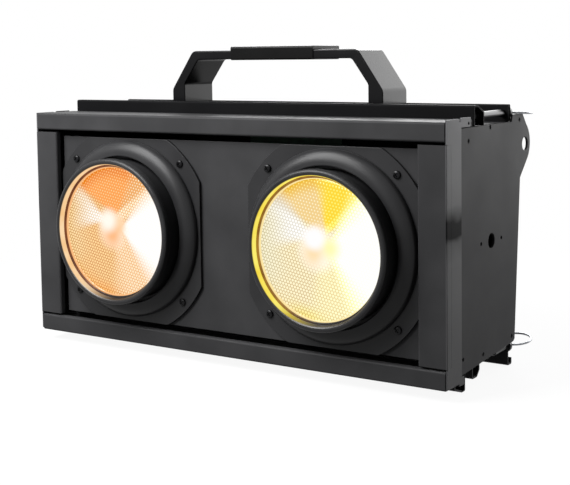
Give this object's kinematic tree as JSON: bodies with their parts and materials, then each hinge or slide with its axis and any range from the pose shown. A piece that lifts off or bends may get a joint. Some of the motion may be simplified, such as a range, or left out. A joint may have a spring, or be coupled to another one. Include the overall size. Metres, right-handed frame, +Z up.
{
  "type": "audience blinder light",
  "caption": "Low oblong black stage light with two large round bead-lens lamps in a folded steel housing, carrying handle on top, linking rails above and below, and ringed locking pins.",
  "frame": {"origin": "on the floor under the bottom rails, in the middle of the overall width and depth", "axes": "+X to the light's left-to-right as seen from in front, +Y from the lenses to the rear panel, +Z up"},
  "size_m": [0.4318, 0.1804, 0.2686],
  "materials": {
    "black_paint": "fine-textured black powder coat on sheet steel",
    "cast_paint": "smooth satin black powder coat on die-cast aluminium",
    "black_zinc": "black zinc plated steel, satin",
    "grip_rubber": "matt black rubber",
    "bead_glass": "clear pressed glass with fine hexagonal beads, lit warm from behind",
    "bright_metal": "bright anodised spun aluminium",
    "raw_aluminium": "plain extruded and folded aluminium",
    "phosphor": "yellow phosphor over a light-emitting chip array",
    "spring_steel": "bright spring-steel wire",
    "dark_plastic": "moulded black plastic",
    "board_laminate": "green circuit board"
  },
  "bodies": {
    "housing": {"front_top_bar": "black_paint", "front_bottom_bar": "black_paint", "top_plate": "black_paint", "bottom_plate": "black_paint", "rear_panel": "black_paint", "front_panel": "black_paint", "top_front_rail": "black_paint", "top_rear_rail": "black_paint", "bottom_front_rail": "black_paint", "bottom_middle_rail": "black_paint", "bottom_rear_rail": "black_paint", "handle": "black_paint", "handle_grip": "grip_rubber", "front_post_left": "black_paint", "side_plate_left": "black_paint", "lamp_flange_left": "cast_paint", "lamp_barrel_left": "cast_paint", "lens_left": "bead_glass", "reflector_left": "bright_metal", "led_module_left": "phosphor", "heat_sink_left": "raw_aluminium", "fan_frame_left": "dark_plastic", "flange_screw_left_1": "black_zinc", "flange_screw_left_2": "black_zinc", "flange_screw_left_3": "black_zinc", "flange_screw_left_4": "black_zinc", "front_post_right": "black_paint", "side_plate_right": "black_paint", "lamp_flange_right": "cast_paint", "lamp_barrel_right": "cast_paint", "lens_right": "bead_glass", "reflector_right": "bright_metal", "led_module_right": "phosphor", "heat_sink_right": "raw_aluminium", "fan_frame_right": "dark_plastic", "flange_screw_right_1": "black_zinc", "flange_screw_right_2": "black_zinc", "flange_screw_right_3": "black_zinc", "flange_screw_right_4": "black_zinc", "data_inlet": "dark_plastic", "data_outlet": "dark_plastic", "power_inlet": "dark_plastic", "power_outlet": "dark_plastic", "menu_module": "dark_plastic", "control_board": "board_laminate", "power_supply": "raw_aluminium"},
    "fan_left": {"fan_rotor_left": "dark_plastic"},
    "upper_pin_left": {"upper_pin_left": "black_zinc"},
    "upper_ring_left": {"upper_ring_left": "spring_steel"},
    "lower_pin_left": {"lower_pin_left": "black_zinc"},
    "lower_ring_left": {"lower_ring_left": "spring_steel"},
    "fan_right": {"fan_rotor_right": "dark_plastic"},
    "upper_pin_right": {"upper_pin_right": "black_zinc"},
    "upper_ring_right": {"upper_ring_right": "spring_steel"},
    "lower_pin_right": {"lower_pin_right": "black_zinc"},
    "lower_ring_right": {"lower_ring_right": "spring_steel"},
    "button_1": {"menu_button_1": "grip_rubber"},
    "button_2": {"menu_button_2": "grip_rubber"},
    "button_3": {"menu_button_3": "grip_rubber"},
    "button_4": {"menu_button_4": "grip_rubber"}
  },
  "joints": [
    {"name": "fan_spin_left", "type": "hinge", "parent": "housing", "child": "fan_left", "pos_m": [-0.1056, 0.0278, 0.1095], "axis": [0, 1, 0], "continuous": true},
    {"name": "upper_pin_pull_left", "type": "slide", "parent": "housing", "child": "upper_pin_left", "axis": [0, 1, 0], "range_m": [0, 0.055]},
    {"name": "upper_ring_swing_left", "type": "hinge", "parent": "upper_pin_left", "child": "upper_ring_left", "pos_m": [-0.201, 0.06135, 0.2113], "axis": [1, 0, 0], "range_deg": [-4, 125]},
    {"name": "lower_pin_pull_left", "type": "slide", "parent": "housing", "child": "lower_pin_left", "axis": [0, 1, 0], "range_m": [0, 0.03]},
    {"name": "lower_ring_swing_left", "type": "hinge", "parent": "lower_pin_left", "child": "lower_ring_left", "pos_m": [-0.201, 0.06135, 0.0159], "axis": [1, 0, 0], "range_deg": [-90, 75]},
    {"name": "fan_spin_right", "type": "hinge", "parent": "housing", "child": "fan_right", "pos_m": [0.1056, 0.0278, 0.1095], "axis": [0, 1, 0], "continuous": true},
    {"name": "upper_pin_pull_right", "type": "slide", "parent": "housing", "child": "upper_pin_right", "axis": [0, 1, 0], "range_m": [0, 0.055]},
    {"name": "upper_ring_swing_right", "type": "hinge", "parent": "upper_pin_right", "child": "upper_ring_right", "pos_m": [0.201, 0.06135, 0.2113], "axis": [1, 0, 0], "range_deg": [-4, 125]},
    {"name": "lower_pin_pull_right", "type": "slide", "parent": "housing", "child": "lower_pin_right", "axis": [0, 1, 0], "range_m": [0, 0.03]},
    {"name": "lower_ring_swing_right", "type": "hinge", "parent": "lower_pin_right", "child": "lower_ring_right", "pos_m": [0.201, 0.06135, 0.0159], "axis": [1, 0, 0], "range_deg": [-90, 75]},
    {"name": "button_press_1", "type": "slide", "parent": "housing", "child": "button_1", "axis": [0, -1, 0], "range_m": [0, 0.001], "stiffness_N_per_m": 400},
    {"name": "button_press_2", "type": "slide", "parent": "housing", "child": "button_2", "axis": [0, -1, 0], "range_m": [0, 0.001], "stiffness_N_per_m": 400},
    {"name": "button_press_3", "type": "slide", "parent": "housing", "child": "button_3", "axis": [0, -1, 0], "range_m": [0, 0.001], "stiffness_N_per_m": 400},
    {"name": "button_press_4", "type": "slide", "parent": "housing", "child": "button_4", "axis": [0, -1, 0], "range_m": [0, 0.001], "stiffness_N_per_m": 400}
  ]
}
